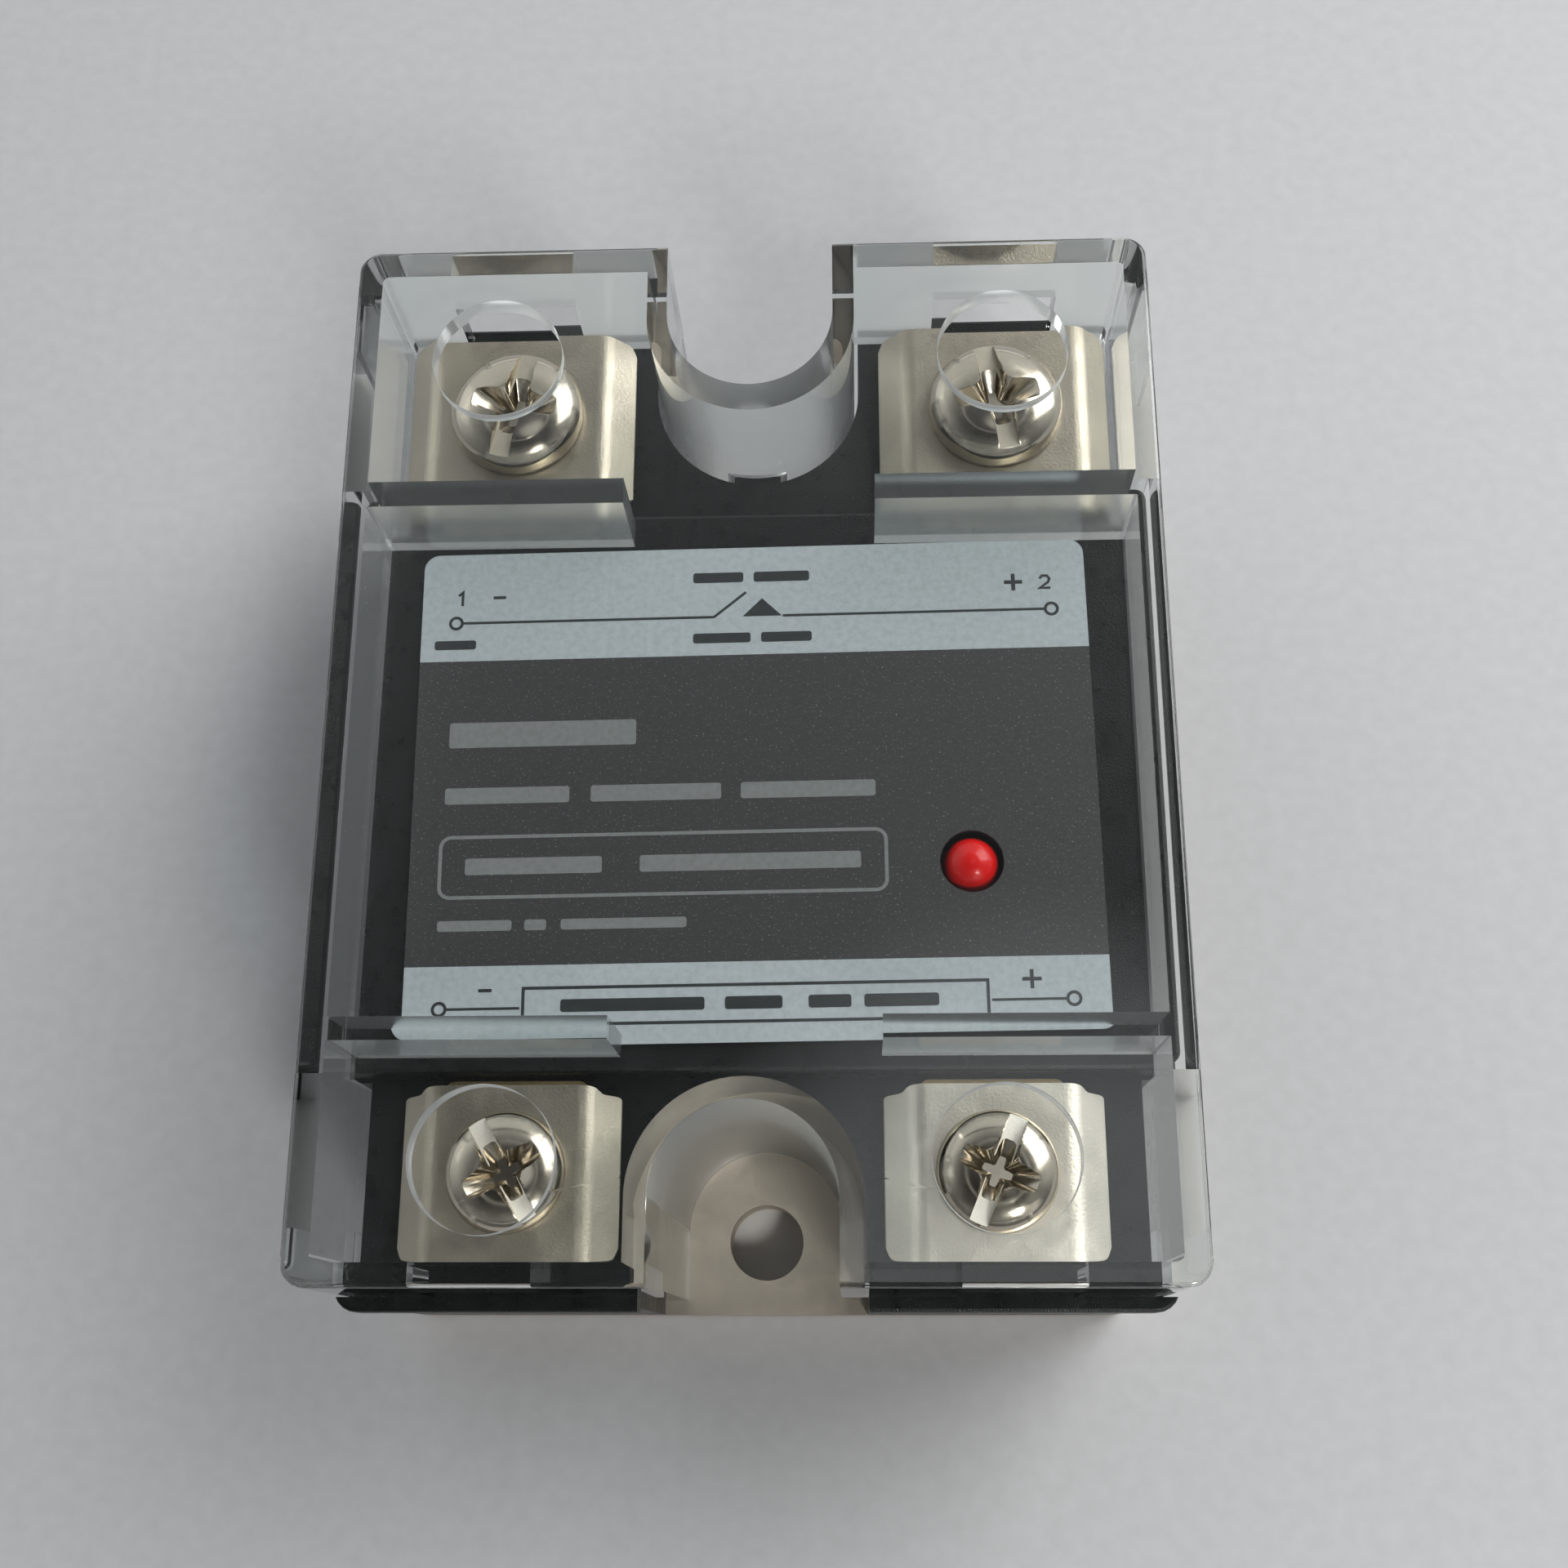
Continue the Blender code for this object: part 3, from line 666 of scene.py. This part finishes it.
# ---------------------------------------------------------------- terminals

SCREWS = {  # the recess scales the cross in the head
    "output": dict(radius=3.95, high=2.35, shank=1.95, length=10.0, pitch=0.7, slot=1.2, recess=1.2),
    "input": dict(radius=3.2, high=2.0, shank=1.7, length=9.0, pitch=0.6, slot=1.0, recess=1.0),
}
SLOT_DEPTH = 0.8
HOLE_ROOM = 0.25  # how much wider a clamp's hole is than its screw
SLOT_TURNS = {"output_left": 78, "output_right": 101, "input_left": 121, "input_right": 67}
CLAMPS = {  # half width, where the wings start, half length and thickness
    "output": (6.9, 5.2, 5.5, 1.2),
    "input": (5.95, 4.2, 4.6, 1.1),
}


def cross_outline(reach, half, fillet):
    """The star of a cross recess: four blunt arms with hollow curves between them."""
    outline = []
    inner = half + fillet
    blunt_x, blunt_y = reach - 0.12, half - 0.1
    quarter = [(blunt_x, -blunt_y), (reach, -half / 2), (reach, half / 2), (blunt_x, blunt_y)]
    quarter += [(inner + fillet, half)]
    quarter += arc((inner, inner), fillet, 270, 180, 6)
    quarter += [(half, inner + fillet)]
    for k in range(4):
        turn = Matrix.Rotation(math.radians(90 * k), 2)
        outline += [tuple(turn @ Vector(point)) for point in quarter]
    return outline


def make_thread(shank, pitch, length):
    """The helical flank surface of a screw thread, from its tip up to under the head."""
    root = shank - 0.6 * pitch
    shape = ((root, 0), (root, 0.12), (shank, 0.46), (shank, 0.58), (root, 0.92), (root, 1))
    points = [(radius * MM, 0, height * pitch * MM) for radius, height in shape]
    line = bpy.data.meshes.new("thread")
    line.from_pydata(points, [(i, i + 1) for i in range(len(points) - 1)], [])
    obj = place("thread", line)
    turns = int(length / pitch) - 2
    wind = obj.modifiers.new("wind", "SCREW")
    wind.screw_offset = pitch * MM
    wind.iterations = turns
    wind.steps = wind.render_steps = 40
    wind.use_merge_vertices = True
    wind.merge_threshold = 0.000001
    settled(obj)
    return moved(obj, to=(0, 0, -(turns + 1) * pitch - 0.05)), root


def make_screw(name, group, x, y, seat, turn):
    sizes = SCREWS[group]
    r, high, slot = sizes["radius"], sizes["high"], sizes["slot"]
    angles = [math.radians(3 * i) for i in range(30)]
    profile = [(r * math.sin(a), high * (1 - math.sin(a) ** 2.5) ** 0.3) for a in angles]
    profile += [(r, 0.42), (r, 0.22), (r - 0.06, 0.06), (r - 0.2, 0), (0, 0)]
    head = turned("head", profile, 128)
    size = sizes["recess"]
    star = cross_outline(2.25 * size, 0.6 * size, 0.42 * size)
    recess = tapered("recess", star, (high + 0.25, 1.14), (high - 1.75, 0.36))
    across = box("slot", (-r - 1, r + 1), (-slot / 2, slot / 2), (high - SLOT_DEPTH, high + PAST))
    cut(head, recess, across)
    soften(head, 0.05, 2, 30)
    thread, root = make_thread(sizes["shank"], sizes["pitch"], sizes["length"])
    low, core_r = 0.05 - sizes["length"], root - 0.02
    tip = [(core_r, low + 0.4), (root - 0.4, low), (0, low)]
    core = turned("core", [(0, 0.05), (core_r, 0.05), *tip], 40)
    screw = moved(merged("screw_head_" + name, head, thread, core), turn, (x, y, seat))
    show(screw, "screw_" + name, SCREW_METAL, "screw_" + name, 38)
    # The slot floors take their group's slot metal, which for the input screws is a painted highlight.
    screw.data.materials.append(SLOT_METALS_WITH_PAINTED_HIGHLIGHT[group])
    for face in screw.data.polygons:
        if face.normal.z > 0.95 and abs(face.center.z / MM - (seat + high - SLOT_DEPTH)) < 0.05:
            face.material_index = 1


def make_clamp(name, group, x, y):
    """A pressed plate with both wings bent down, its corners a little uneven from the press."""
    wide, flat, half, thick = CLAMPS[group]
    low, high = span("clamp_" + name)
    top, tip = high[2], low[2]
    under = top - thick
    right = [(flat - 0.55, under), (wide - 0.8, tip), (wide, tip + 0.35), (flat, top)]
    left = [(-across, height) for across, height in reversed(right)]
    radii = (0.5, 0.12, 0.15, 0.6, 0.6, 0.15, 0.12, 0.5)
    clamp = slab("clamp_plate_" + name, [eased(right + left, radii)], (-half, half))
    moved(clamp, 90, (x, y, 0), "X")
    far = half - 0.02
    plan = [  # its right half, from the edge by the relay's middle to the outer edge
        (flat - 0.1, far),
        (flat + 0.45, far - 0.1),
        (flat + 0.62, far - 0.42),
        (wide - 0.1, far - 0.5),
        (wide + 0.02, far - 1.0),
        (wide + 0.02, 1.0 - far),
        (wide - 0.35, 0.15 - far),
        (flat, -far),
    ]
    plan += [(-across, along) for across, along in reversed(plan)]
    end = ENDS[group]
    outline = [(x + px, y - end * py) for px, py in eased(plan, (0.25,), 4)]
    trim = slab("trim", [outline], (tip - PAST, top + PAST))
    combine(clamp, "INTERSECT", trim)
    hole = cylinder("hole", x, y, SCREWS[group]["shank"] + HOLE_ROOM, (tip - PAST, top + PAST), 64)
    cut(clamp, hole)
    soften(clamp, 0.09, 3, 30)
    # The input_right clamp takes the lighter copy of the nickel, which is a painted highlight.
    metal = PAINTED_HIGHLIGHT_CLAMP if name == "input_right" else CLAMP_METAL
    show(clamp, "clamp_" + name, metal, "clamp_" + name, 30)


# ---------------------------------------------------------------- label and lamp

LABEL_TILT = 0.7  # degrees: the label was stuck on a little askew
LABEL_CORNER = 0.9
LAMP_R, LAMP_HOLE_R = 1.53, 1.75
INK_LIFT = 0.012  # each printed layer lies this far above the one below
INK_THICK = 0.02
BAND_EDGES = (6.3, -11.5)  # the dark field lies between the two light bands
TOP_LINE, LOW_LINE = 8.65, -13.85  # the schematic's two lines
LINE_WIDE, OUTLINE_WIDE, FRAME_WIDE = 0.15, 0.17, 0.2
CONTACT = ((-2.2, TOP_LINE), (-0.35, 10.15))  # the open switch, and the arrow beside it
ARROW = ((-0.55, TOP_LINE), (1.7, TOP_LINE), (0.57, 9.75))
RING_X, RING_R = 17.1, 0.43  # the rings at the lines' ends
COIL_X, COIL_Y = 12.62, (-14.85, -12.68)  # the box in the lower line
FRAME_X, FRAME_Y = (-17.5, 7.4), (-7.75, -4.1)  # the frame round the third row of light bars
DARK_BARS = (  # plain bars in the place of words: left and right ends, middle and thickness
    ((-18.3, -15.9), 7.3, 0.55),
    ((-3.4, -0.5), 11.1, 0.62),
    ((0.1, 3.3), 11.1, 0.62),
    ((-3.4, -0.1), 7.35, 0.6),
    ((0.5, 3.4), 7.35, 0.6),
    ((-10.5, -2.7), -13.75, 0.7),
    ((-1.6, 1.5), -13.75, 0.7),
    ((2.9, 5.2), -13.75, 0.7),
    ((5.9, 9.9), -13.75, 0.7),
)
LIGHT_BARS = (
    ((-17.2, -6.6), 1.8, 1.5),
    ((-17.3, -10.3), -1.8, 0.95),
    ((-9.1, -1.8), -1.8, 0.95),
    ((-0.7, 6.8), -1.8, 0.95),
    ((-16.0, -8.4), -5.9, 0.95),
    ((-6.3, 5.9), -5.9, 0.95),
    ((-17.4, -13.3), -9.25, 0.6),
    ((-12.6, -11.4), -9.25, 0.6),
    ((-10.6, -3.7), -9.25, 0.6),
)
MINUS_SIGNS = (((-15.0, -14.25), 10.2, 0.18), ((-15.0, -14.25), -12.85, 0.18))
PLUS_SIGNS = ((15.0, 10.35, 0.52, 0.11), (14.9, -12.75, 0.52, 0.1))  # middle, arm and half its width
DIGITS = (  # the place of a terminal's number and its stroke
    ((-16.8, 10.15), ((-0.22, 0.22), (0.02, 0.42), (0.02, -0.42))),
    (
        (16.8, 10.3),
        ((-0.28, 0.22), (-0.15, 0.4), (0.15, 0.4), (0.28, 0.2), (0.2, 0.0), (-0.28, -0.36), (0.32, -0.36)),
    ),
)


def tilted(outline):
    """The outline turned as the label is."""
    turn = Matrix.Rotation(math.radians(LABEL_TILT), 2)
    return [tuple(turn @ Vector(point)) for point in outline]


def shifted(outline, x, y):
    return [(px + x, py + y) for px, py in outline]


def bar_outline(bar):
    (low, high), middle, height = bar
    return rounded((low, high), (middle - height / 2, middle + height / 2), min(0.15, height / 3), 4)


def plus_outline(x, y, reach, half):
    outline = []
    for k in range(4):
        turn = Matrix.Rotation(math.radians(90 * k), 2)
        outline += [tuple(turn @ Vector(point)) for point in ((reach, -half), (reach, half), (half, half))]
    return shifted(outline, x, y)


def band_outline(x, edge, end):
    """A light band from the dark field's edge to the label's rounded end."""
    corner_x, corner_y = x[1] - LABEL_CORNER, end - math.copysign(LABEL_CORNER, end)
    if end > 0:
        right = arc((corner_x, corner_y), LABEL_CORNER, 0, 90)
        left = arc((x[0] + LABEL_CORNER, corner_y), LABEL_CORNER, 90, 180)
        return right + left + [(x[0], edge), (x[1], edge)]
    left = arc((x[0] + LABEL_CORNER, corner_y), LABEL_CORNER, 180, 270)
    right = arc((corner_x, corner_y), LABEL_CORNER, 270, 360)
    return left + right + [(x[1], edge), (x[0], edge)]


def make_label():
    low, high = span("label")
    lamp_low, lamp_high = span("lamp_lens")
    lamp = ((lamp_low[0] + lamp_high[0]) / 2, (lamp_low[1] + lamp_high[1]) / 2)
    x, y, top = (low[0], high[0]), (low[1], high[1]), high[2]
    field = print_ink("label_dark", (0.04, 0.038, 0.039), 0.14)
    pale = print_ink("label_light", (0.54, 0.585, 0.61))
    ink = print_ink("ink_dark", (0.02, 0.024, 0.026))
    grey = print_ink("ink_grey", (0.24, 0.245, 0.245))
    sheet = [tilted(rounded(x, y, LABEL_CORNER)), circle(*lamp, LAMP_HOLE_R)]
    show(slab("label_sheet", sheet, (low[2], top)), "base", field, "label")

    def print_on(name, outlines, material, layer=1):
        lift = top + INK_LIFT * layer
        ink_film = slab(name, [tilted(line) for line in outlines], (lift - INK_THICK, lift))
        show(ink_film, "base", material)

    print_on("label_band_output", [band_outline(x, BAND_EDGES[0], y[1])], pale)
    print_on("label_band_input", [band_outline(x, BAND_EDGES[1], y[0])], pale)

    marks = [bar_outline(bar) for bar in DARK_BARS + MINUS_SIGNS]
    for line_y in (TOP_LINE, LOW_LINE):
        for side in SIDES.values():
            marks.append(circle(side * RING_X, line_y, RING_R))
            marks.append(circle(side * RING_X, line_y, RING_R - OUTLINE_WIDE))
    ring = RING_X - RING_R
    marks.append(ribbon(((-ring, TOP_LINE), *CONTACT), LINE_WIDE))
    marks.append(list(ARROW))
    marks.append(ribbon(((1.75, TOP_LINE), (ring, TOP_LINE)), LINE_WIDE))
    for side in SIDES.values():
        marks.append(ribbon(((side * ring, LOW_LINE), (side * (COIL_X + 0.1), LOW_LINE)), 0.14))
    marks.append(rounded((-COIL_X, COIL_X), COIL_Y, 0.05, 2))
    inner_y = (COIL_Y[0] + OUTLINE_WIDE, COIL_Y[1] - OUTLINE_WIDE)
    marks.append(rounded((OUTLINE_WIDE - COIL_X, COIL_X - OUTLINE_WIDE), inner_y, 0.05, 2))
    marks += [plus_outline(*sign) for sign in PLUS_SIGNS]
    marks += [shifted(ribbon(stroke, LINE_WIDE), *middle) for middle, stroke in DIGITS]
    print_on("label_marks_dark", marks, ink, 2)

    lines = [bar_outline(bar) for bar in LIGHT_BARS]
    lines.append(rounded(FRAME_X, FRAME_Y, 0.7))
    frame_inner = [(start + FRAME_WIDE, end - FRAME_WIDE) for start, end in (FRAME_X, FRAME_Y)]
    lines.append(rounded(*frame_inner, 0.5))
    print_on("label_marks_light", lines, grey)


def make_lamp():
    low, high = span("lamp_lens")
    x, y = (low[0] + high[0]) / 2, (low[1] + high[1]) / 2
    foot, flange = low[2], (high[0] - low[0]) / 2
    middle = high[2] - LAMP_R
    angles = [math.radians(5 * i) for i in range(19)]
    profile = [(LAMP_R * math.sin(a), middle + LAMP_R * math.cos(a)) for a in angles]
    profile += [(LAMP_R, foot + 0.95), (LAMP_R + 0.06, foot + 0.88), (flange, foot + 0.85), (flange, foot)]
    lens = moved(turned("lamp_dome", profile + [(0, foot)]), to=(x, y, 0))
    show(lens, "base", PAINT["lamp_lens"], "lamp_lens")


# ---------------------------------------------------------------- scene


make_camera()
make_stage()
SCREW_METAL = nickel_plate("screw_nickel", (0.56, 0.51, 0.42), 0.15, 0.05)
# Metal for the slot floors. The input screws' slots are painted much lighter than the screw nickel: a
# painted highlight for the bright reflection on their floors. The output screws' slots keep the nickel's
# colour and are only rougher.
SLOT_METALS_WITH_PAINTED_HIGHLIGHT = {
    "output": nickel_plate("slot_nickel_dull", (0.56, 0.52, 0.44), 0.62, 0.6),
    "input": nickel_plate("slot_nickel_painted_highlight", (0.95, 0.92, 0.84), 0.62, 0.6),
}
CLAMP_METAL = nickel_plate("clamp_nickel", (0.44, 0.4, 0.325), 0.36, 0.8)
# A lighter copy of the clamp nickel for the input_right clamp: a painted highlight for the lamp light that
# this clamp catches.
PAINTED_HIGHLIGHT_CLAMP = nickel_plate("clamp_nickel_painted_highlight", (0.84, 0.79, 0.68), 0.36, 0.8)
CHIP = moulded("component_black", (0.03, 0.03, 0.032), 0.5)
BEIGE = moulded("component_beige", (0.62, 0.5, 0.35), 0.45)
BRASS = cast_metal("brass", (0.72, 0.55, 0.28), 0.3)
COPPER = cast_metal("copper", (0.75, 0.38, 0.25), 0.35)
TIN = cast_metal("tinned_wire", (0.7, 0.7, 0.68), 0.3)
SILICON = cast_metal("silicon", (0.2, 0.2, 0.24), 0.25)
PAINT = {
    "base_plate": nickel_plate("base_metal", (0.68, 0.61, 0.51), 0.45, 0.3),
    "housing": black_plastic(),
    "circuit_board": moulded("board_green", (0.03, 0.2, 0.08), 0.4),
    "ceramic_plate": moulded("ceramic_white", (0.85, 0.85, 0.82), 0.6),
    "storage_capacitor": moulded("capacitor_sleeve", (0.04, 0.05, 0.12), 0.35, 0.05),
    "optocoupler": CHIP,
    "driver_chip": CHIP,
    "input_diode": CHIP,
    "surge_diode": CHIP,
    "input_resistor": BEIGE,
    "lamp_resistor": BEIGE,
    "gate_resistor": BEIGE,
    "lamp_lead": TIN,
    "bar": BRASS,
    "nut": SCREW_METAL,
    "screw": SCREW_METAL,
    "clamp": CLAMP_METAL,
    "copper_pad": COPPER,
    "transistor_chip": SILICON,
    "cover": clear_plastic(),
    "label": print_ink("label_film", (0.058, 0.056, 0.057)),
    "lamp_lens": lamp_plastic(),
}
for name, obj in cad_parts.items():
    kind = max((key for key in PAINT if name.startswith(key)), key=len)
    obj.data.materials.clear()
    obj.data.materials.append(PAINT[kind])

make_cover(PAINT["cover"])
for group_name in ENDS:
    for side_name in SIDES:
        terminal = f"{group_name}_{side_name}"
        place_x, place_y, seat_z = screw_place(group_name, side_name)
        make_clamp(terminal, group_name, place_x, place_y)
        turn = SLOT_TURNS[terminal]
        make_screw(terminal, group_name, place_x, place_y, seat_z, turn)
make_label()
make_lamp()
